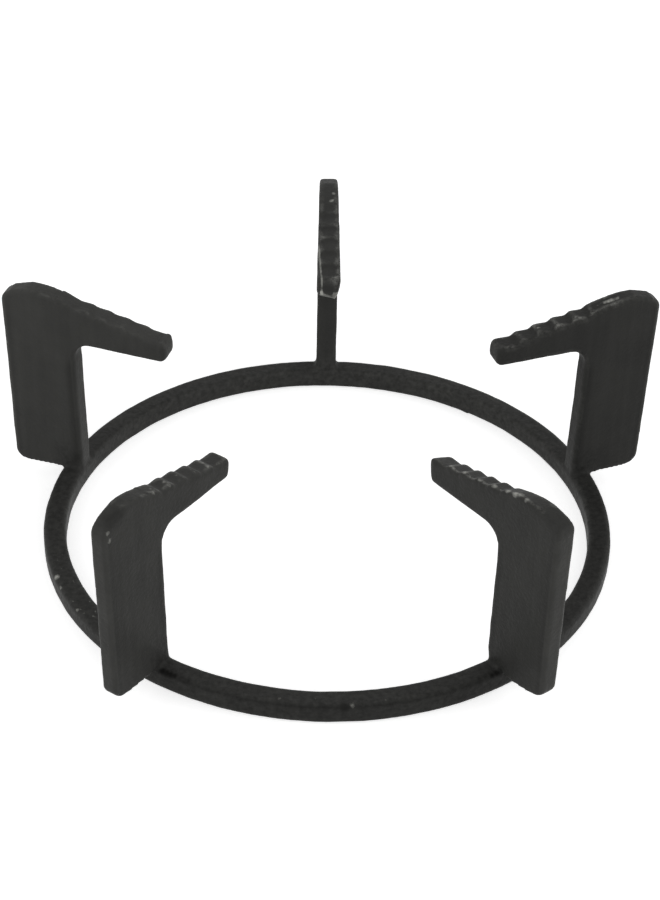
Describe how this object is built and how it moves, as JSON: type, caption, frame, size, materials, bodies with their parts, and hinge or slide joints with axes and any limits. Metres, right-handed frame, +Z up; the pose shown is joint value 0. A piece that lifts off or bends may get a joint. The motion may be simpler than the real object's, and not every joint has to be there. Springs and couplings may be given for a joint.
{
  "type": "stove pot stand",
  "caption": "Cast-iron pot stand for a gas burner: a flat ring with upright legs whose stepped fingers reach inward to carry a pan.",
  "frame": {"origin": "centre of the ring's bore, on the plane that the ring rests on", "axes": "+Z up along the ring's axis, +Y towards the back leg"},
  "size_m": [0.23, 0.2203, 0.0799],
  "materials": {
    "cast_iron": "matte, slightly rough cast surface"
  },
  "bodies": {
    "root": {"pot_stand": "cast_iron"}
  },
  "joints": []
}
